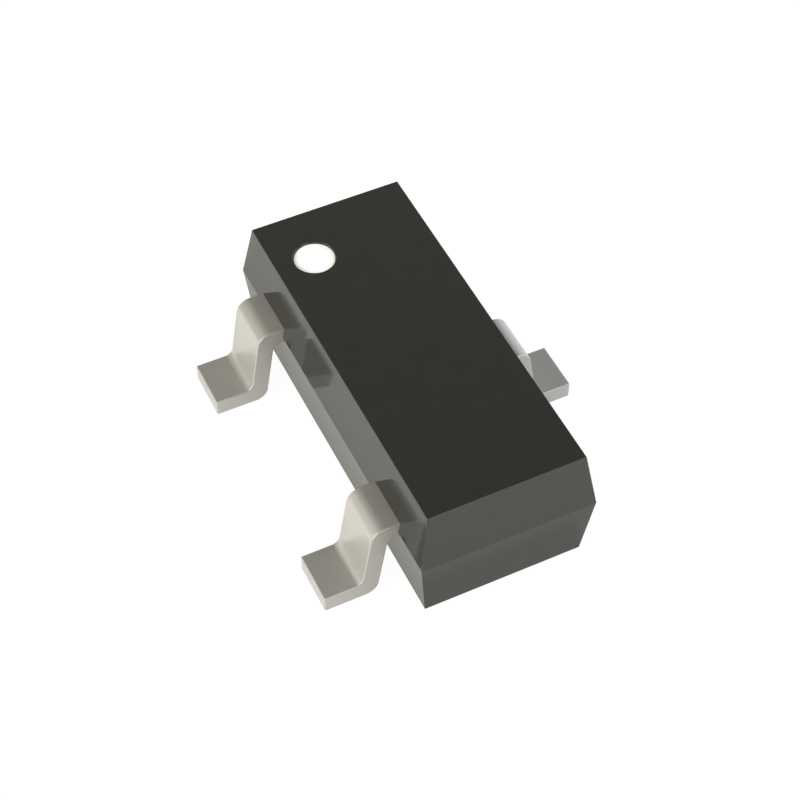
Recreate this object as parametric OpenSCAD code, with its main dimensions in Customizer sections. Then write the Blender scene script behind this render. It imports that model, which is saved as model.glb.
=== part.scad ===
// Low-dropout voltage regulator in a three-lead surface-mount package.
// A moulded body holds a silicon die on a lead frame; three gull-wing leads
// come out of its two long sides. Z = 0 is the face of the circuit board.
// X runs along the body, from lead 1 at -X to lead 2 at +X; lead 3 is at +Y.

/* [Moulded body] */
// Length of the body at its parting line
mould_length = 3.00; // [2.80:0.01:3.10]
// Width of the body at its parting line
mould_width = 1.30; // [1.20:0.01:1.40]
// Height of the body above its parting line
upper_height = 0.45; // [0.42:0.01:0.50]
// Height of the body below its parting line
lower_height = 0.547; // [0.480:0.001:0.620]
// Slope of the side faces above the parting line, from upright
upper_draft = 9; // [5:0.5:12]
// Slope of the side faces below the parting line, from upright
lower_draft = 6; // [3:0.5:10]
// Gap between the underside and the board
standoff = 0.03; // [0.01:0.01:0.10]

/* [Pin 1 dot] */
// Diameter of the shallow round recess
recess_diameter = 0.304; // [0.24:0.002:0.36]
// Depth of the recess
recess_depth = 0.022; // [0.014:0.002:0.050]
// From the end of the top face to the middle of the recess
recess_from_end = 0.443; // [0.300:0.001:0.600]
// From the lead 1 side of the top face to the middle of the recess
recess_from_side = 0.295; // [0.220:0.001:0.360]
// Diameter of the white ink in the recess
dot_diameter = 0.302; // [0.200:0.002:0.304]
// Thickness of the ink
dot_thick = 0.006; // [0.002:0.001:0.015]

/* [Leads] */
// Distance between the middles of leads 1 and 2
lead_pitch = 1.90; // [1.80:0.01:2.00]
// Width of each lead
lead_width = 0.394; // [0.300:0.002:0.500]
// Thickness of the lead frame
lead_thick = 0.138; // [0.090:0.001:0.180]
// Thickness of the sloping shin as it comes out of the forming tool
shin_thick = 0.132; // [0.080:0.001:0.160]
// Height of the lead frame's top face above the parting line
lead_rise = 0.087; // [0.050:0.001:0.120]
// From the parting line to the corner over the upper bend
lead_run = 0.185; // [0.160:0.001:0.240]
// Lean of the shin from upright
shin_lean = 9; // [4:0.5:14]
// From the corner between shin and foot to the tip of the lead
foot_length = 0.280; // [0.240:0.001:0.400]
// Radius over the upper bend
knee_outer_radius = 0.11; // [0.08:0.01:0.15]
// Radius under the upper bend
knee_inner_radius = 0.06; // [0.03:0.01:0.08]
// Radius in the hollow of the lower bend
heel_inner_radius = 0.06; // [0.03:0.01:0.10]
// Radius under the lower bend
heel_outer_radius = 0.10; // [0.08:0.01:0.18]

/* [Lead frame inside the body] */
// From the parting line in to the shoulder of a bond post
post_setback = 0.15; // [0.12:0.01:0.20]
// Length of a bond post, in from its shoulder
post_length = 0.24; // [0.18:0.01:0.28]
// Width of a bond post
post_width = 0.56; // [0.50:0.01:0.62]
// From the parting line in to the shoulder of the die paddle
paddle_setback = 0.20; // [0.18:0.01:0.24]
// Size of the die paddle along the body
paddle_length = 0.92; // [0.80:0.01:1.00]
// Size of the die paddle across the body
paddle_width = 0.68; // [0.62:0.01:0.74]
// Length of the notches that lock each lead in the plastic
notch_length = 0.06; // [0.03:0.01:0.08]
// Depth of the notches into each side of a lead
notch_depth = 0.05; // [0.02:0.01:0.08]

/* [Die] */
// Size of the silicon die along the body
die_length = 0.66; // [0.54:0.01:0.72]
// Size of the silicon die across the body
die_width = 0.54; // [0.46:0.01:0.56]
// Thickness of the silicon die
die_thick = 0.15; // [0.10:0.01:0.17]
// How far the adhesive shows round the die
attach_margin = 0.02; // [0.01:0.01:0.03]
// Thickness of the adhesive under the die
attach_thick = 0.02; // [0.01:0.01:0.03]
// From the edges of the die to the middle of a bond pad
pad_inset = 0.07; // [0.05:0.01:0.10]

/* [Bond wires] */
// Diameter of the wire
wire_diameter = 0.025; // [0.018:0.001:0.032]
// Diameter of the ball that is welded to the die
ball_diameter = 0.070; // [0.050:0.002:0.080]
// Height of the ball
ball_height = 0.020; // [0.014:0.002:0.024]
// Rise of the loop over the face of the die
loop_height = 0.090; // [0.070:0.002:0.110]
// Length of the flattened weld on the lead
stitch_length = 0.050; // [0.030:0.002:0.070]
// Width of the end of the flattened weld
stitch_width = 0.050; // [0.036:0.002:0.070]
// From the paddle's shoulder out to the weld of wire 3
downbond_reach = 0.050; // [0.040:0.002:0.070]

/* [Hidden] */
$fn = 64;

// Heights above the board
parting_z = standoff + lower_height;
top_z = parting_z + upper_height;
frame_top_z = parting_z + lead_rise;
frame_under_z = frame_top_z - lead_thick;
die_under_z = frame_top_z + attach_thick;
die_top_z = die_under_z + die_thick;
recess_floor_z = top_z - recess_depth;

// Distances out from the body's middle line
parting_out = mould_width / 2;
knee_out = parting_out + lead_run;
heel_out = knee_out + (frame_top_z - lead_thick) * tan(shin_lean);
toe_out = heel_out + foot_length;
shin_back = shin_thick / cos(shin_lean);
post_out = parting_out - post_setback;
paddle_out = parting_out - paddle_setback;
paddle_middle = paddle_out - paddle_width / 2;

// Middle of the recess on the top face
top_half_length = mould_length / 2 - upper_height * tan(upper_draft);
top_half_width = mould_width / 2 - upper_height * tan(upper_draft);
recess_at = [recess_from_end - top_half_length, recess_from_side - top_half_width];

// Bond pads on the die, and the places where the wires meet the lead frame
side_pad = [die_length / 2 - pad_inset, paddle_middle - die_width / 2 + pad_inset];
far_pad = [0, paddle_middle + die_width / 2 - pad_inset];
post_bond = [lead_pitch / 2, post_length / 2 - post_out];
neck_bond = [0, paddle_out + downbond_reach];

// A tool that cuts past a face reaches this much further
past = 0.1;
wire_sides = 8;
loop_steps = 12;

mould_colour = [0.16, 0.16, 0.155];
tin_colour = [0.78, 0.77, 0.73];
silicon_colour = [0.33, 0.36, 0.44];
adhesive_colour = [0.62, 0.62, 0.60];
wire_colour = [0.86, 0.66, 0.26];
ink_colour = [0.97, 0.97, 0.96];

// Section of the body across one of its lengths: widest at the parting line
module drafted_section(length) {
    half = length / 2;
    under = half - lower_height * tan(lower_draft);
    over = half - upper_height * tan(upper_draft);
    polygon([
        [-under, standoff], [under, standoff], [half, parting_z],
        [over, top_z], [-over, top_z], [-half, parting_z]
    ]);
}

// The whole outside of the body, as the moulding tool makes it
module drafted_block() {
    intersection() {
        rotate([90, 0, 0])
            linear_extrude(mould_width + past, center = true)
                drafted_section(mould_length);
        rotate([90, 0, 90])
            linear_extrude(mould_length + past, center = true)
                drafted_section(mould_width);
    }
}

function unit(v) = v / norm(v);

// What lies between a sharp corner and the arc that rounds it. a and b point
// from the corner along its two edges. Cut away it rounds an outer corner,
// added it fills an inner one.
module corner_web(corner, a, b, radius) {
    half = acos(unit(a) * unit(b)) / 2;
    centre = corner + unit(unit(a) + unit(b)) * radius / sin(half);
    reach = radius / tan(half);
    touch_a = corner + unit(a) * reach;
    touch_b = corner + unit(b) * reach;
    out_a = unit(touch_a - centre);
    out_b = unit(touch_b - centre);
    over = radius / 4;
    difference() {
        polygon([
            centre,
            touch_a + out_a * over,
            corner + (out_a + out_b) * over / (1 + out_a * out_b),
            touch_b + out_b * over
        ]);
        translate(centre) circle(radius);
    }
}

// Side view of a gull-wing lead from out = start to its toe, as [out, z]
module gull_wing_outline(start) {
    down = [sin(shin_lean), -cos(shin_lean)];
    knee_top = [knee_out, frame_top_z];
    heel_top = [heel_out, lead_thick];
    heel_under = [knee_out + frame_top_z * tan(shin_lean) - shin_back, 0];
    knee_under = [knee_out + lead_thick * tan(shin_lean) - shin_back, frame_under_z];
    difference() {
        union() {
            polygon([
                [start, frame_top_z], knee_top, heel_top, [toe_out, lead_thick],
                [toe_out, 0], heel_under, knee_under, [start, frame_under_z]
            ]);
            corner_web(heel_top, -down, [1, 0], heel_inner_radius);
            corner_web(knee_under, [-1, 0], down, knee_inner_radius);
        }
        corner_web(knee_top, [-1, 0], down, knee_outer_radius);
        corner_web(heel_under, [1, 0], -down, heel_outer_radius);
    }
}

// The formed strip of one lead, bent along +Y, from out = start to its toe
module gull_wing(start) {
    rotate([90, 0, 90])
        linear_extrude(lead_width, center = true)
            gull_wing_outline(start);
}

// Two side notches in a neck whose shoulder is at out = shoulder
module lock_notches(shoulder) {
    middle = (shoulder + parting_out) / 2;
    for (side = [-1, 1])
        translate([side * lead_width / 2, middle, frame_top_z - lead_thick / 2])
            cube([2 * notch_depth, notch_length, lead_thick + past], center = true);
}

// A lead that ends in a bond post inside the body, made along +Y
module post_lead() {
    difference() {
        union() {
            gull_wing(post_out - post_length / 2);
            translate([-post_width / 2, post_out - post_length, frame_under_z])
                cube([post_width, post_length, lead_thick]);
        }
        lock_notches(post_out);
    }
}

// The lead that ends in the die paddle, made along +Y
module paddle_lead() {
    difference() {
        union() {
            gull_wing(paddle_middle);
            translate([-paddle_length / 2, paddle_out - paddle_width, frame_under_z])
                cube([paddle_length, paddle_width, lead_thick]);
        }
        lock_notches(paddle_out);
    }
}

module lead_1() {
    color(tin_colour)
        translate([-lead_pitch / 2, 0, 0])
            rotate([0, 0, 180])
                post_lead();
}

module lead_2() {
    color(tin_colour)
        translate([lead_pitch / 2, 0, 0])
            rotate([0, 0, 180])
                post_lead();
}

module lead_3() {
    color(tin_colour) paddle_lead();
}

// A plate round the middle of the paddle, its underside at z = under
module paddle_plate(length, width, thick, under) {
    translate([-length / 2, paddle_middle - width / 2, under])
        cube([length, width, thick]);
}

module silicon_die() {
    color(silicon_colour)
        paddle_plate(die_length, die_width, die_thick, die_under_z);
}

module die_attach() {
    color(adhesive_colour)
        paddle_plate(
            die_length + 2 * attach_margin, die_width + 2 * attach_margin,
            attach_thick, frame_top_z
        );
}

// One point of a cubic curve through a and d, steered by b and c
function curve_point(a, b, c, d, t) =
    pow(1 - t, 3) * a + 3 * pow(1 - t, 2) * t * b
    + 3 * (1 - t) * t * t * c + pow(t, 3) * d;

// Its direction at the same place
function curve_heading(a, b, c, d, t) =
    pow(1 - t, 2) * (b - a) + 2 * (1 - t) * t * (c - b) + t * t * (d - c);

// Rings of the wire as [along, z, heading, half height, half width], from the
// foot of the ball up over the loop to the end of the flattened weld
function ball_rings() = [
    for (part = [[0, 0.80], [0.30, 1], [0.70, 0.94], [1, 0.62]])
        [0, die_top_z + part[0] * ball_height, [0, 1],
         part[1] * ball_diameter / 2, part[1] * ball_diameter / 2]
];

function loop_rings(span) =
    let (
        half = wire_diameter / 2,
        start = [0, die_top_z + 1.3 * ball_height],
        rise = [0, die_top_z + 1.3 * loop_height],
        fall = [0.45 * span, die_top_z + 1.2 * loop_height],
        end = [span - stitch_length, frame_top_z + half]
    ) [
        for (step = [0 : loop_steps - 1])
            let (
                t = step / loop_steps,
                at = curve_point(start, rise, fall, end, t)
            ) [at[0], at[1], unit(curve_heading(start, rise, fall, end, t)), half, half]
    ];

// The last rings lie on the lead with a flat of their polygon
function stitch_rings(span) =
    let (flat = cos(180 / wire_sides), half = wire_diameter / 2) [
        for (part = [[0, 1, 0], [0.45, 0.5, 0.7], [1, 0.16, 1]])
            let (
                half_height = part[1] * half,
                half_width = half + part[2] * (stitch_width / 2 - half)
            ) [span - (1 - part[0]) * stitch_length, frame_top_z + flat * half_height,
               [1, 0], half_height, half_width]
    ];

// Corners of one ring of a wire that starts at from and runs towards heading
function ring_corners(ring, from, heading) =
    let (across = [-heading[1], heading[0]], up = [-ring[2][1], ring[2][0]]) [
        for (side = [0 : wire_sides - 1])
            let (
                turn = (side + 0.5) * 360 / wire_sides,
                lift = ring[3] * cos(turn),
                at = from + (ring[0] + lift * up[0]) * heading
                    + ring[4] * sin(turn) * across
            ) [at[0], at[1], ring[1] + lift * up[1]]
    ];

// A bond wire from a pad on the die to a place on the lead frame
module bond_wire(pad, bond) {
    span = norm(bond - pad) + stitch_length / 2;
    rings = concat(ball_rings(), loop_rings(span), stitch_rings(span));
    last = len(rings) - 1;
    corners = [for (ring = rings) each ring_corners(ring, pad, unit(bond - pad))];
    walls = [
        for (row = [0 : last - 1], side = [0 : wire_sides - 1])
            let (
                a = row * wire_sides + side,
                b = row * wire_sides + (side + 1) % wire_sides
            ) each [[a, b, b + wire_sides], [a, b + wire_sides, a + wire_sides]]
    ];
    foot = [for (side = [wire_sides - 1 : -1 : 0]) side];
    tip = [for (side = [0 : wire_sides - 1]) last * wire_sides + side];
    color(wire_colour)
        polyhedron(points = corners, faces = concat(walls, [foot, tip]));
}

module bond_wire_1() {
    bond_wire([-side_pad[0], side_pad[1]], [-post_bond[0], post_bond[1]]);
}

module bond_wire_2() {
    bond_wire(side_pad, post_bond);
}

module bond_wire_3() {
    bond_wire(far_pad, neck_bond);
}

module pin_1_dot() {
    color(ink_colour)
        translate([recess_at[0], recess_at[1], recess_floor_z])
            cylinder(h = dot_thick, d = dot_diameter);
}

// The plastic, moulded round everything that it holds
module mould_body() {
    color(mould_colour)
        difference() {
            drafted_block();
            translate([recess_at[0], recess_at[1], recess_floor_z])
                cylinder(h = recess_depth + past, d = recess_diameter);
            lead_1();
            lead_2();
            lead_3();
            die_attach();
            silicon_die();
            bond_wire_1();
            bond_wire_2();
            bond_wire_3();
        }
}

mould_body();
lead_1();
lead_2();
lead_3();
silicon_die();
die_attach();
bond_wire_1();
bond_wire_2();
bond_wire_3();
pin_1_dot();
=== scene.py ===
# %% [markdown]
# A small voltage regulator, dressed for its portrait.
# The part is three millimetres long: a moulded body, three bent leads and a white dot.
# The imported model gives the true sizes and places. Everything here is in metres and
# stands in the same frame: X along the body, Z up, and Z = 0 is the circuit board.

import math

import bmesh
import bpy
from mathutils import Matrix, Vector


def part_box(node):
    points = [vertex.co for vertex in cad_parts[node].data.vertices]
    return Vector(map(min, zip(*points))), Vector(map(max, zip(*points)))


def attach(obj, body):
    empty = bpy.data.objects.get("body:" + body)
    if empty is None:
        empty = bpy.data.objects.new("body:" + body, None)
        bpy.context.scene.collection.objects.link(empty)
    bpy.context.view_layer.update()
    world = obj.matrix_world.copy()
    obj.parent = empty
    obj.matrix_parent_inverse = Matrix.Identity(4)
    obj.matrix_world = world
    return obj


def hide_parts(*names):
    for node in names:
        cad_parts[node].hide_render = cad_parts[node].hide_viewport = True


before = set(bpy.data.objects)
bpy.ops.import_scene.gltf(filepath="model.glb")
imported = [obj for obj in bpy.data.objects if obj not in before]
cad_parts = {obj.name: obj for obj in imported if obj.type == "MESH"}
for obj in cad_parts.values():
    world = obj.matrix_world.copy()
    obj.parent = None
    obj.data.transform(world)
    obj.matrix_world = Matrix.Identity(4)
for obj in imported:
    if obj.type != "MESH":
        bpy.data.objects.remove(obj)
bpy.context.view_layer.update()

# %% [markdown]
# The camera comes first, because every later look depends on it.
# The photograph looks down on the part from its lead 2 end with a long lens, so the
# edges converge only a little. An aim point, two angles and a distance say it all.
# The clip range is set: the usual 0.1 m would hide a part this small.

# %% Camera
MM = 0.001
CAMERA_AIM = Vector((0.0706, -0.1191, 0.500)) * MM
CAMERA_AZIMUTH = math.radians(64.31)
CAMERA_ELEVATION = math.radians(50.25)
CAMERA_DISTANCE = 13.834 * MM
CAMERA_LENS = 88.75
CAMERA_SENSOR = 36.0
CLIP_NEAR = 0.5 * MM
CLIP_FAR = 2.0


def direction(azimuth, elevation):
    """The unit vector towards a place seen at these angles; azimuth 0 is in front, at -Y."""
    level = math.cos(elevation)
    return Vector((math.sin(azimuth) * level, -math.cos(azimuth) * level, math.sin(elevation)))


def look_at(thing, place, aim):
    """Puts a camera or a lamp at a place and turns it towards the aim."""
    thing.location = place
    thing.rotation_mode = "QUATERNION"
    thing.rotation_quaternion = (aim - place).to_track_quat("-Z", "Y")


camera = bpy.data.objects.new("camera", bpy.data.cameras.new("camera"))
bpy.context.scene.collection.objects.link(camera)
camera_back = direction(CAMERA_AZIMUTH, CAMERA_ELEVATION)
look_at(camera, CAMERA_AIM + camera_back * CAMERA_DISTANCE, CAMERA_AIM)
camera.data.lens = CAMERA_LENS
camera.data.sensor_width = CAMERA_SENSOR
camera.data.clip_start = CLIP_NEAR
camera.data.clip_end = CLIP_FAR
bpy.context.scene.camera = camera
print("camera at", [round(v / MM, 2) for v in camera.location], "mm")

# %% [markdown]
# Materials are small networks of nodes. Each starts from the same few steps, so a helper
# makes the Principled shader and another one adds a node and joins it up.
# All patterns read Object coordinates, which are metres here, so a scale of 20000 makes
# a grain of a twentieth of a millimetre. A noise seldom reaches 0 or 1, so the helpers
# spread its middle part over the whole range that is asked for.

# %% Material helpers
NOISE_SPREAD = (0.3, 0.7)
NOISE_BLEND = (0.35, 0.65)


def new_material(name, colour, roughness, metallic=0.0):
    """A material with one Principled shader, and the shader's node."""
    material = bpy.data.materials.new(name)
    material.use_nodes = True
    shader = material.node_tree.nodes["Principled BSDF"]
    shader.inputs["Base Color"].default_value = (*colour, 1.0)
    shader.inputs["Roughness"].default_value = roughness
    shader.inputs["Metallic"].default_value = metallic
    return material, shader


def add_node(material, kind, links=(), **values):
    """Adds a node; links are (output socket, input name), values are the node's own settings."""
    node = material.node_tree.nodes.new(kind)
    for key, value in values.items():
        setattr(node, key, value)
    for output, name in links:
        material.node_tree.links.new(output, node.inputs[name])
    return node


def object_noise(material, scale, detail, stretch=(1.0, 1.0, 1.0)):
    """Noise on Object coordinates; stretch makes it finer or longer along an axis."""
    place = add_node(material, "ShaderNodeTexCoord")
    mapping = add_node(material, "ShaderNodeMapping", [(place.outputs["Object"], "Vector")])
    mapping.inputs["Scale"].default_value = stretch
    noise = add_node(material, "ShaderNodeTexNoise", [(mapping.outputs["Vector"], "Vector")])
    noise.inputs["Scale"].default_value = scale
    noise.inputs["Detail"].default_value = detail
    return noise


def vary(material, noise, low, high, target):
    """Spreads a noise between two values and sends it to a shader's socket."""
    spread = add_node(material, "ShaderNodeMapRange", [(noise.outputs["Fac"], "Value")])
    spread.inputs["From Min"].default_value = NOISE_SPREAD[0]
    spread.inputs["From Max"].default_value = NOISE_SPREAD[1]
    spread.inputs["To Min"].default_value = low
    spread.inputs["To Max"].default_value = high
    material.node_tree.links.new(spread.outputs["Result"], target)


def blend_colours(material, noise, first, second, target):
    """Blends two colours by a noise and sends the result to a shader's socket."""
    ramp = add_node(material, "ShaderNodeValToRGB", [(noise.outputs["Fac"], "Fac")])
    ramp.color_ramp.elements[0].position = NOISE_BLEND[0]
    ramp.color_ramp.elements[0].color = (*first, 1.0)
    ramp.color_ramp.elements[1].position = NOISE_BLEND[1]
    ramp.color_ramp.elements[1].color = (*second, 1.0)
    material.node_tree.links.new(ramp.outputs["Color"], target)


def bump(material, shader, noise, height):
    """Raises the surface by a noise, height in metres."""
    node = add_node(material, "ShaderNodeBump", [(noise.outputs["Fac"], "Height")])
    node.inputs["Strength"].default_value = 1.0
    node.inputs["Distance"].default_value = height
    material.node_tree.links.new(node.outputs["Normal"], shader.inputs["Normal"])


# %% [markdown]
# The body is epoxy filled with powdered glass and blackened with carbon. It comes out of a
# polished mould, so it's smooth and mirrors what stands around it, more on the slopes that
# are seen at a low angle. The glass powder makes that mirror stronger than plain epoxy's,
# which a higher index of refraction says. A fine grain keeps it from looking like lacquer.

# %% Mould compound
FILLED_EPOXY_IOR = 1.7


def make_black_epoxy():
    material, shader = new_material("black_epoxy", (0.014, 0.014, 0.0135), 0.08)
    shader.inputs["IOR"].default_value = FILLED_EPOXY_IOR
    mottle = object_noise(material, 9000.0, 3.0)
    blend_colours(
        material, mottle, (0.0130, 0.0130, 0.0125), (0.0150, 0.0150, 0.0145),
        shader.inputs["Base Color"],
    )
    grain = object_noise(material, 60000.0, 4.0)
    vary(material, grain, 0.05, 0.11, shader.inputs["Roughness"])
    bump(material, shader, grain, 0.00001 * MM)
    return material


black_epoxy = make_black_epoxy()
print("epoxy nodes:", len(black_epoxy.node_tree.nodes))

# %% [markdown]
# The leads are copper alloy with a few micrometres of matt tin. The plated grains are too
# small to see but they scatter the light, so the shine is broad, and part of the light comes
# back as from a pale powder: a metal share of 0.7 says that. The rolled strip under the tin
# leaves faint lines along each lead.

# %% Tin plating
TIN_METAL_SHARE = 0.7
ROLLED_LINES = (1.0, 0.06, 1.0)


def make_matt_tin():
    material, shader = new_material("matt_tin", (0.565, 0.56, 0.545), 0.35, TIN_METAL_SHARE)
    cloud = object_noise(material, 5000.0, 3.0)
    blend_colours(
        material, cloud, (0.555, 0.55, 0.535), (0.575, 0.57, 0.555), shader.inputs["Base Color"]
    )
    lines = object_noise(material, 50000.0, 2.0, ROLLED_LINES)
    vary(material, lines, 0.32, 0.38, shader.inputs["Roughness"])
    bump(material, shader, lines, 0.00002 * MM)
    return material


matt_tin = make_matt_tin()
print("tin nodes:", len(matt_tin.node_tree.nodes))

# %% [markdown]
# The dot is a flat white ink. The hidden pieces get their own finishes too: blue-grey
# silicon with rows of tiny circuit cells, a dull adhesive and a bright gold-coloured wire.

# %% Ink, silicon, adhesive and wire
SILICON_IOR = 2.4
CELL_SCALE = 12000.0


def make_marking_ink():
    material, shader = new_material("marking_ink", (0.95, 0.95, 0.94), 0.6)
    speckle = object_noise(material, 40000.0, 3.0)
    blend_colours(
        material, speckle, (0.93, 0.93, 0.92), (0.97, 0.97, 0.96), shader.inputs["Base Color"]
    )
    bump(material, shader, speckle, 0.0002 * MM)
    return material


def make_silicon():
    material, shader = new_material("polished_silicon", (0.33, 0.36, 0.44), 0.12)
    shader.inputs["IOR"].default_value = SILICON_IOR
    place = add_node(material, "ShaderNodeTexCoord")
    cells = add_node(material, "ShaderNodeTexBrick", [(place.outputs["Object"], "Vector")])
    cells.inputs["Color1"].default_value = (0.30, 0.34, 0.44, 1.0)
    cells.inputs["Color2"].default_value = (0.38, 0.40, 0.46, 1.0)
    cells.inputs["Mortar"].default_value = (0.16, 0.18, 0.24, 1.0)
    cells.inputs["Scale"].default_value = CELL_SCALE
    material.node_tree.links.new(cells.outputs["Color"], shader.inputs["Base Color"])
    return material


def make_adhesive():
    material, shader = new_material("silver_adhesive", (0.62, 0.62, 0.60), 0.7)
    flakes = object_noise(material, 60000.0, 4.0)
    blend_colours(
        material, flakes, (0.50, 0.50, 0.49), (0.70, 0.70, 0.68), shader.inputs["Base Color"]
    )
    return material


def make_wire():
    material, shader = new_material("gold_wire", (0.86, 0.66, 0.26), 0.18, 1.0)
    drawn = object_noise(material, 80000.0, 2.0)
    vary(material, drawn, 0.12, 0.24, shader.inputs["Roughness"])
    return material


marking_ink = make_marking_ink()
polished_silicon = make_silicon()
silver_adhesive = make_adhesive()
gold_wire = make_wire()

for node, finish in {
    "silicon_die": polished_silicon,
    "die_attach": silver_adhesive,
    "bond_wire_1": gold_wire,
    "bond_wire_2": gold_wire,
    "bond_wire_3": gold_wire,
}.items():
    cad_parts[node].data.materials.clear()
    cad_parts[node].data.materials.append(finish)
print("finishes:", [m.name for m in bpy.data.materials])

# %% [markdown]
# A new piece is modelled in a bmesh and then becomes an object at the origin. It takes the
# place of an imported solid, which is hidden, rides on the part's one body and names its finish.
# The modelling is done in millimetres, the unit that these parts are drawn in, and the
# finished shape is scaled to metres.

# %% Helper that turns a bmesh into a piece


def box_mm(node):
    """The lowest and highest corner of a CAD node, in millimetres."""
    low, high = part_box(node)
    return low / MM, high / MM


def make_piece(name, shape, finish, replaced):
    """Scales the shape to metres, makes it an object and hides the solid that it replaces."""
    bmesh.ops.recalc_face_normals(shape, faces=shape.faces)
    bmesh.ops.scale(shape, vec=(MM, MM, MM), verts=shape.verts)
    mesh = bpy.data.meshes.new(name)
    shape.to_mesh(mesh)
    shape.free()
    mesh.materials.append(finish)
    piece = bpy.data.objects.new(name, mesh)
    bpy.context.scene.collection.objects.link(piece)
    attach(piece, "root")
    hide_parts(replaced)
    return piece


# %% [markdown]
# Smooth shading alone would make a flat face look dished, because it blends the directions
# of all the faces that meet at a corner. Here each large flat keeps its own direction, so
# the parting line of the body stays crisp. On the small faces of a bend or a rounded edge the
# largest face around the corner wins the blend, so a bend runs smoothly into its flats.
# A face that lies more than half a right angle away is left out of the blend.

# %% Helper that shades a piece
WIDEST_BLEND = math.radians(50.0)
FLAT_AREA = 0.012


def shade_by_largest(piece):
    """Gives each corner of each face a direction that the largest faces around it decide."""
    mesh = piece.data
    faces_at = [[] for _ in mesh.vertices]
    for face in mesh.polygons:
        for index in face.vertices:
            faces_at[index].append((face.normal.copy(), (face.area / MM**2) ** 2))
    directions = []
    for face in mesh.polygons:
        for index in face.vertices:
            blend = Vector()
            for normal, weight in faces_at[index]:
                if normal.dot(face.normal) > math.cos(WIDEST_BLEND):
                    blend += normal * weight
            is_flat = face.area > FLAT_AREA * MM**2
            directions.append(face.normal.copy() if is_flat else blend.normalized())
    mesh.normals_split_custom_set(directions)


# %% [markdown]
# A few small steps that the pieces share. One joins the faces that lie in one plane. One
# rounds a set of edges by a given amount, with a bevel. The others find the sharp edges of a
# shape, and the corners that an extrude has just made.

# %% Helpers that tidy and round a shape
NEAR = 1e-5
SAME_PLANE = math.radians(0.5)
SHARP = math.radians(30.0)
ROUND_STEPS = 3


def merge_flats(shape):
    """Joins faces that lie in one plane, so that each flat is a single face."""
    bmesh.ops.dissolve_limit(
        shape, angle_limit=SAME_PLANE, verts=shape.verts, edges=shape.edges
    )


def round_edges(shape, edges, amount, steps=ROUND_STEPS):
    """A bevel of a given width; two or more steps make it round."""
    bmesh.ops.bevel(
        shape, geom=edges, offset=amount, offset_type="OFFSET", segments=steps,
        profile=0.5, affect="EDGES", material=-1, clamp_overlap=False,
    )


def sharp_edges(shape):
    """The edges where two faces meet at a clear angle."""
    return [e for e in shape.edges if e.calc_face_angle() > SHARP]


def moved_verts(geometry):
    """The corners among what an extrude has made, which are then moved."""
    return [g for g in geometry if isinstance(g, bmesh.types.BMVert)]


# %% [markdown]
# The body is moulded round the leads, the chip and the wires, so inside it has a pocket for
# each of them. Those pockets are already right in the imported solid. A copy of its mesh is
# used here, with its doubled corners merged, and only the outside is made finer: the edges
# of the mould are a few micrometres round, and the recess for the dot is cut again, because
# at this size the facets of a packed circle show.

# %% Body, copied and merged
body_low, body_high = box_mm("mould_body")
dot_low, dot_high = box_mm("pin_1_dot")
dot_middle = (dot_low + dot_high) / 2

body = bmesh.new()
body.from_mesh(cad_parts["mould_body"].data)
bmesh.ops.scale(body, vec=(1 / MM, 1 / MM, 1 / MM), verts=body.verts)
bmesh.ops.remove_doubles(body, verts=body.verts, dist=NEAR)
merge_flats(body)
print("body after merging:", len(body.faces), "faces")

# %% Recess, cut again
RECESS_RADIUS = 0.152
RECESS_STEPS = 128

top_faces = [f for f in body.faces if all(v.co.z > dot_low.z - NEAR for v in f.verts)]
bmesh.ops.delete(body, geom=top_faces, context="FACES")
top_rim = [e for e in body.edges if e.is_boundary]
circle = bmesh.ops.create_circle(body, segments=RECESS_STEPS, radius=RECESS_RADIUS)["verts"]
bmesh.ops.translate(body, verts=circle, vec=(dot_middle.x, dot_middle.y, body_high.z))
recess_rim = [e for e in body.edges if e.is_wire]
bmesh.ops.triangle_fill(body, use_beauty=True, edges=top_rim + recess_rim, normal=(0, 0, 1))
wall = bmesh.ops.extrude_edge_only(body, edges=recess_rim)["geom"]
bmesh.ops.translate(body, verts=moved_verts(wall), vec=(0, 0, dot_low.z - body_high.z))
bmesh.ops.holes_fill(body, edges=[e for e in body.edges if e.is_boundary], sides=0)
bmesh.ops.recalc_face_normals(body, faces=body.faces)
print("body with its recess:", len(body.faces), "faces")

# %% Body edges, rounded
MOULD_EDGE = 0.005
RECESS_EDGE = 0.008
OUTER_BAND = 0.1


def on_outside(vert):
    """True for the corners of the two drafted blocks."""
    return abs(vert.co.x) > body_high.x - OUTER_BAND and abs(vert.co.y) > body_high.y - OUTER_BAND


def is_mould_edge(edge):
    """True for the outer edges, apart from the parting line, which stays crisp."""
    first, second = edge.verts
    level = abs(first.co.z - second.co.z) < NEAR
    at_parting = level and body_low.z + NEAR < first.co.z < body_high.z - NEAR
    return on_outside(first) and on_outside(second) and not at_parting


mould_edges = [e for e in body.edges if is_mould_edge(e)]
print("mould edges:", len(mould_edges), "rim edges:", len(recess_rim))
round_edges(body, mould_edges, MOULD_EDGE)
round_edges(body, [e for e in recess_rim if e.is_valid], RECESS_EDGE)
shade_by_largest(make_piece("mould_body_shell", body, black_epoxy, "mould_body"))

# %% [markdown]
# A lead starts as the flat plate that lies in the plastic. Its outer end is pulled out along
# the bends, three pulls for three straight stretches. Each bend is then one bevel, and last
# a very small bevel takes the sharpness off every edge, which is what catches the light.

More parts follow.
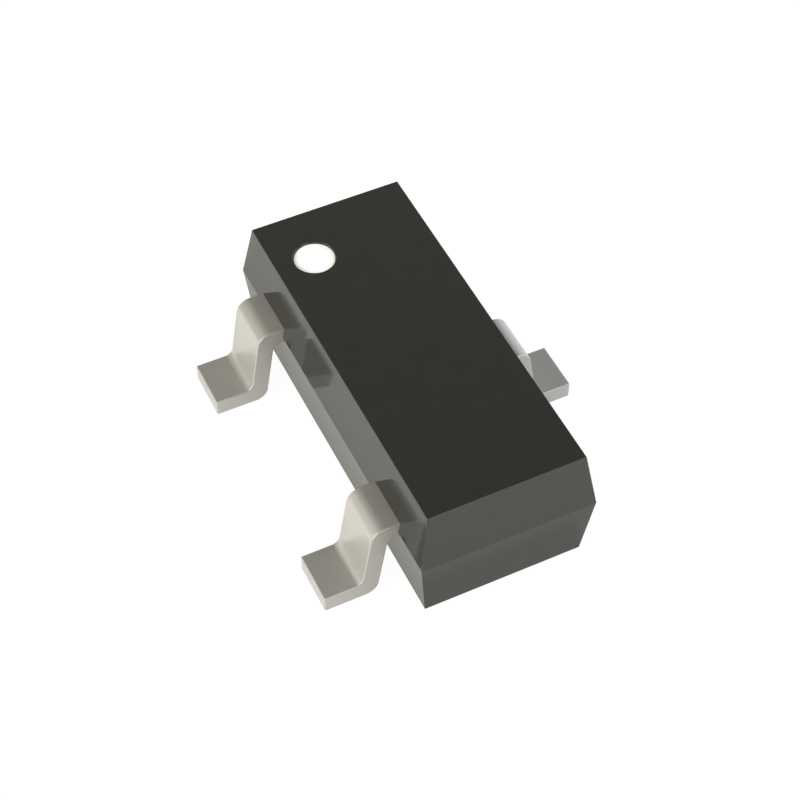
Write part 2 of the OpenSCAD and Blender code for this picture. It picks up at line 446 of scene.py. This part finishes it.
# %% Lead sizes, in millimetres
LEAD_WIDTH = 0.394
LEAD_THICK = 0.138
SHIN_THICK = 0.132
SHIN_LEAN = math.radians(9.0)
LEAD_RUN = 0.185
KNEE_OUTER_RADIUS = 0.11
KNEE_INNER_RADIUS = 0.06
HEEL_INNER_RADIUS = 0.06
HEEL_OUTER_RADIUS = 0.10
BEND_STEPS = 14
EDGE_ROUND = 0.010
POST_SETBACK = 0.15
POST_LENGTH = 0.24
POST_WIDTH = 0.56
PADDLE_SETBACK = 0.20
PADDLE_LENGTH = 0.92
PADDLE_WIDTH = 0.68
NOTCH_LENGTH = 0.06
NOTCH_DEPTH = 0.05

lead_2_low, lead_2_high = box_mm("lead_2")
lead_top_z = lead_2_high.z
lead_pitch = lead_2_low.x + lead_2_high.x
toe_out = box_mm("lead_3")[1].y
parting_out = body_high.y
print("lead pitch", round(lead_pitch, 3), "mm, top at", round(lead_top_z, 3), "mm")

# %% Lead section
knee_out = parting_out + LEAD_RUN
heel_out = knee_out + (lead_top_z - LEAD_THICK) * math.tan(SHIN_LEAN)
shin_back = SHIN_THICK / math.cos(SHIN_LEAN)
KNEE_TOP = (knee_out, lead_top_z)
KNEE_UNDER = (knee_out + LEAD_THICK * math.tan(SHIN_LEAN) - shin_back, lead_top_z - LEAD_THICK)
HEEL_TOP = (heel_out, LEAD_THICK)
HEEL_UNDER = (knee_out + lead_top_z * math.tan(SHIN_LEAN) - shin_back, 0.0)


def plate_outline(width, shoulder, inner):
    """Half the outline of the plate in the plastic, as (across, out) from its outer end in."""
    half = LEAD_WIDTH / 2
    notch = (shoulder + parting_out) / 2
    return [
        (half, parting_out),
        (half, notch + NOTCH_LENGTH / 2),
        (half - NOTCH_DEPTH, notch + NOTCH_LENGTH / 2),
        (half - NOTCH_DEPTH, notch - NOTCH_LENGTH / 2),
        (half, notch - NOTCH_LENGTH / 2),
        (half, shoulder),
        (width / 2, shoulder),
        (width / 2, inner),
    ]


def pull_end(shape, end, top, under):
    """Extrudes a lead's end face, so that its edges come to two places given as (out, z)."""
    middle_z = end.calc_center_median().z
    new_end = bmesh.ops.extrude_discrete_faces(shape, faces=[end])["faces"][0]
    for vert in new_end.verts:
        vert.co.y, vert.co.z = top if vert.co.z > middle_z else under
    return new_end


print("knee", [round(v, 4) for v in KNEE_TOP], "heel", [round(v, 4) for v in HEEL_UNDER])

# %% Build one lead, made along +Y


def bend(shape, place, radius):
    """Rounds the edge that runs across the lead at (out, z)."""
    reach = radius / math.tan((math.pi / 2 + SHIN_LEAN) / 2)
    corner = [
        e for e in shape.edges
        if all(abs(v.co.y - place[0]) < NEAR and abs(v.co.z - place[1]) < NEAR for v in e.verts)
    ]
    round_edges(shape, corner, reach, BEND_STEPS)


def lead_shape(width, shoulder, inner):
    """A whole lead: plate, bends and softened edges."""
    shape = bmesh.new()
    half = plate_outline(width, shoulder, inner)
    outline = half + [(-across, out) for across, out in reversed(half)]
    corners = [shape.verts.new((across, out, lead_top_z)) for across, out in outline]
    plate = shape.faces.new(corners)
    sunk = bmesh.ops.extrude_face_region(shape, geom=[plate])["geom"]
    bmesh.ops.translate(shape, verts=moved_verts(sunk), vec=(0, 0, -LEAD_THICK))
    end = [f for f in shape.faces if all(abs(v.co.y - parting_out) < NEAR for v in f.verts)][0]
    end = pull_end(shape, end, KNEE_TOP, KNEE_UNDER)
    end = pull_end(shape, end, HEEL_TOP, HEEL_UNDER)
    pull_end(shape, end, (toe_out, LEAD_THICK), (toe_out, 0.0))
    bmesh.ops.recalc_face_normals(shape, faces=shape.faces)
    merge_flats(shape)
    bend(shape, KNEE_TOP, KNEE_OUTER_RADIUS)
    bend(shape, KNEE_UNDER, KNEE_INNER_RADIUS)
    bend(shape, HEEL_TOP, HEEL_INNER_RADIUS)
    bend(shape, HEEL_UNDER, HEEL_OUTER_RADIUS)
    round_edges(shape, sharp_edges(shape), EDGE_ROUND)
    return shape


post_out = parting_out - POST_SETBACK
paddle_out = parting_out - PADDLE_SETBACK
half_turn = Matrix.Rotation(math.pi, 4, "Z")
for name, middle in (("lead_1", -lead_pitch / 2), ("lead_2", lead_pitch / 2)):
    post_lead = lead_shape(POST_WIDTH, post_out, post_out - POST_LENGTH)
    to_front = Matrix.Translation((middle, 0, 0)) @ half_turn
    bmesh.ops.transform(post_lead, matrix=to_front, verts=post_lead.verts)
    shade_by_largest(make_piece(name + "_formed", post_lead, matt_tin, name))
paddle_lead = lead_shape(PADDLE_LENGTH, paddle_out, paddle_out - PADDLE_WIDTH)
shade_by_largest(make_piece("lead_3_formed", paddle_lead, matt_tin, "lead_3"))

# %% [markdown]
# The dot is a thin disc of ink on the floor of the recess, with a soft rim where the
# ink has drawn back as it dried.

# %% White dot
INK_DRAWN_BACK = 0.003
INK_EDGE = 0.0015
INK_STEPS = 96

dot_radius = (dot_high.x - dot_low.x) / 2 - INK_DRAWN_BACK
dot = bmesh.new()
ring = bmesh.ops.create_circle(dot, cap_ends=True, segments=INK_STEPS, radius=dot_radius)
bmesh.ops.translate(dot, verts=ring["verts"], vec=(dot_middle.x, dot_middle.y, dot_low.z))
raised = bmesh.ops.extrude_face_region(dot, geom=dot.faces[:])["geom"]
bmesh.ops.translate(dot, verts=moved_verts(raised), vec=(0, 0, dot_high.z - dot_low.z))
round_edges(dot, sharp_edges(dot), INK_EDGE)
print("dot faces:", len(dot.faces), "radius", round(dot_radius, 4), "mm")
shade_by_largest(make_piece("pin_1_ink", dot, marking_ink, "pin_1_dot"))

# %% [markdown]
# The floor is a pale card. The camera sees it as white with only a breath of the part's
# shadow. Shiny surfaces mirror it too, and what they mirror is a glowing grey card with a
# painted shadow: darker close to the body, where the body would stand in its light, and nearly white a
# millimetre away.
# All other rays see a matt white card that takes the shadow and sends light back up.
# Its lower side is clear, so that a camera below the card still sees the underside.

# %% Floor shape
FLOOR_HALF = 0.25

floor_shape = bmesh.new()
bmesh.ops.create_grid(floor_shape, x_segments=1, y_segments=1, size=FLOOR_HALF)
floor_mesh = bpy.data.meshes.new("floor")
floor_shape.to_mesh(floor_mesh)
floor_shape.free()
floor = bpy.data.objects.new("floor", floor_mesh)
bpy.context.scene.collection.objects.link(floor)
print("floor:", 2 * FLOOR_HALF, "m square")

# %% Floor material
CARD_WHITE = 0.9
CAMERA_WHITE = 1.05
CAMERA_SHARE = 0.92
FAR_FROM_BODY = 1.0
CARD_SHADE_HALF = (1.60, 0.60)
# The glow that shiny surfaces see has a painted shadow: darker near the body, nearly white far off.
MIRRORED_CARD_PAINTED_SHADOW = [
    (0.0, (0.525, 0.510, 0.465)),
    (0.1, (0.640, 0.622, 0.585)),
    (0.2, (0.635, 0.617, 0.580)),
    (0.4, (0.730, 0.718, 0.690)),
    (0.6, (0.818, 0.828, 0.785)),
    (FAR_FROM_BODY, (0.932, 0.885, 0.795)),
]


def set_stops(ramp, stops):
    """Gives a colour ramp its stops, as (place, colour) with the lowest place first."""
    ends = ramp.color_ramp.elements
    while len(ends) < len(stops):
        ends.new(0.5)
    for end, (place, colour) in zip(ends, stops):
        end.position = place
        end.color = (*colour, 1.0)


def card_glow_with_painted_shadow(material):
    """The card's glow for shiny surfaces, by the distance from the body's outline: a painted shadow,
    darker near the body.
    """
    place = add_node(material, "ShaderNodeTexCoord")
    either_side = add_node(
        material, "ShaderNodeVectorMath", [(place.outputs["Object"], 0)], operation="ABSOLUTE"
    )
    past_body = add_node(
        material, "ShaderNodeVectorMath", [(either_side.outputs["Vector"], 0)], operation="SUBTRACT"
    )
    past_body.inputs[1].default_value = (CARD_SHADE_HALF[0] * MM, CARD_SHADE_HALF[1] * MM, 0.0)
    parts = add_node(material, "ShaderNodeSeparateXYZ", [(past_body.outputs["Vector"], "Vector")])
    distance = add_node(
        material, "ShaderNodeMath", [(parts.outputs["X"], 0), (parts.outputs["Y"], 1)],
        operation="MAXIMUM",
    )
    span = add_node(material, "ShaderNodeMapRange", [(distance.outputs["Value"], "Value")])
    span.inputs["From Max"].default_value = FAR_FROM_BODY * MM
    ramp = add_node(material, "ShaderNodeValToRGB", [(span.outputs["Result"], "Fac")])
    set_stops(ramp, [(place / FAR_FROM_BODY, colour) for place, colour in MIRRORED_CARD_PAINTED_SHADOW])
    return add_node(material, "ShaderNodeEmission", [(ramp.outputs["Color"], "Color")])


def mix_shaders(material, share, first, second):
    """Shows the first shader where the share is 0 and the second where it is 1."""
    mix = add_node(material, "ShaderNodeMixShader", [(share, 0), (first, 1), (second, 2)])
    return mix.outputs["Shader"]


def make_pale_card():
    """White to the camera, a glow with a painted shadow to shiny surfaces, matt to all other rays."""
    material = bpy.data.materials.new("pale_card")
    material.use_nodes = True
    material.node_tree.nodes.clear()
    matt = add_node(material, "ShaderNodeBsdfDiffuse")
    matt.inputs["Color"].default_value = (CARD_WHITE, CARD_WHITE, CARD_WHITE, 1.0)
    # The glow for shiny surfaces, with its painted shadow near the body.
    mirrored = card_glow_with_painted_shadow(material)
    white = add_node(material, "ShaderNodeEmission")
    white.inputs["Strength"].default_value = CAMERA_WHITE
    rays = add_node(material, "ShaderNodeLightPath")
    for_eye = add_node(
        material, "ShaderNodeMath", [(rays.outputs["Is Camera Ray"], 0)], operation="MULTIPLY"
    )
    for_eye.inputs[1].default_value = CAMERA_SHARE
    seen_side = add_node(material, "ShaderNodeNewGeometry")
    clear = add_node(material, "ShaderNodeBsdfTransparent")
    surface = mix_shaders(
        material, rays.outputs["Is Glossy Ray"], matt.outputs["BSDF"], mirrored.outputs["Emission"]
    )
    surface = mix_shaders(material, for_eye.outputs["Value"], surface, white.outputs["Emission"])
    surface = mix_shaders(material, seen_side.outputs["Backfacing"], surface, clear.outputs["BSDF"])
    add_node(material, "ShaderNodeOutputMaterial", [(surface, "Surface")])
    return material


card = make_pale_card()
floor.data.materials.append(card)
print("card nodes:", len(card.node_tree.nodes))

# %% [markdown]
# The light is a plain studio. The sky is grey and darker overhead, so that the flat tops
# mirror mid grey and the bends of the leads run from dark to light. A warm lamp stands low
# in front of leads 1 and 2, and a cooler one low behind lead 3, each with a weaker one above
# it. Seen from a low angle, the glossy top would mirror the two low lamps as plain white, so
# those two are hidden from mirrored rays. The weaker lamps stay mirrored. Two of them are
# there for that alone: one at the lead 2 end draws a thin bright line along the edges of the
# leads, and one behind gives the upper bend of lead 3 its glint. Together the lamps and the
# sky light a level surface at about the strength where white looks white.

# %% World
STUDIO_LEVELS = [
    (0.0, (0.25, 0.25, 0.25)),
    (0.25, (0.25, 0.25, 0.25)),
    (0.5, (0.41, 0.395, 0.32)),
    (0.77, (0.235, 0.239, 0.203)),
    (1.0, (0.15, 0.15, 0.15)),
]

world = bpy.data.worlds.new("studio")
bpy.context.scene.world = world
world.use_nodes = True
world.node_tree.nodes.clear()
heading = add_node(world, "ShaderNodeTexCoord")
parts = add_node(world, "ShaderNodeSeparateXYZ", [(heading.outputs["Generated"], "Vector")])
ramp = add_node(world, "ShaderNodeValToRGB", [(parts.outputs["Z"], "Fac")])
set_stops(ramp, STUDIO_LEVELS)
sky = add_node(world, "ShaderNodeBackground", [(ramp.outputs["Color"], "Color")])
white_sky = add_node(world, "ShaderNodeBackground")
white_sky.inputs["Color"].default_value = (1.0, 1.0, 1.0, 1.0)
world_rays = add_node(world, "ShaderNodeLightPath")
studio = mix_shaders(
    world, world_rays.outputs["Is Camera Ray"], sky.outputs["Background"], white_sky.outputs["Background"]
)
add_node(world, "ShaderNodeOutputWorld", [(studio, "Surface")])
print("studio levels:", len(STUDIO_LEVELS))

# %% Lamps
LAMP_DISTANCE = 60 * MM
LAMP_AIM = Vector((0.0, 0.0, 0.5 * MM))
WARM = (1.0, 0.93, 0.75)
COOL = (0.80, 0.87, 1.0)


def soft_lamp(name, azimuth, elevation, width, power, colour, mirrored=True):
    """A square area lamp that faces the part; mirrored says if shiny surfaces show it."""
    data = bpy.data.lights.new(name, "AREA")
    data.size = width
    data.energy = power
    data.color = colour
    lamp = bpy.data.objects.new(name, data)
    bpy.context.scene.collection.objects.link(lamp)
    towards = direction(math.radians(azimuth), math.radians(elevation))
    look_at(lamp, LAMP_AIM + towards * LAMP_DISTANCE, LAMP_AIM)
    lamp.visible_glossy = mirrored


soft_lamp("front_lamp", 14.0, 12.0, 50 * MM, 0.0680, WARM, mirrored=False)
soft_lamp("back_lamp", 180.0, 15.0, 40 * MM, 0.0400, (0.77, 0.84, 1.0), mirrored=False)
soft_lamp("front_upper_lamp", 0.0, 30.0, 40 * MM, 0.0135, (0.98, 0.94, 1.0))
soft_lamp("back_upper_lamp", 185.0, 33.0, 40 * MM, 0.0080, COOL)
soft_lamp("back_edge_lamp", 207.0, 14.0, 40 * MM, 0.0015, COOL)
soft_lamp("edge_lamp", 118.0, 36.0, 40 * MM, 0.0085, (1.0, 0.98, 0.96))
print("lamps:", len(bpy.data.lights))

# %% [markdown]
# The Standard view shows each colour as it is written.

# %% View settings
view = bpy.context.scene.view_settings
view.view_transform = "Standard"
print("view:", view.view_transform)
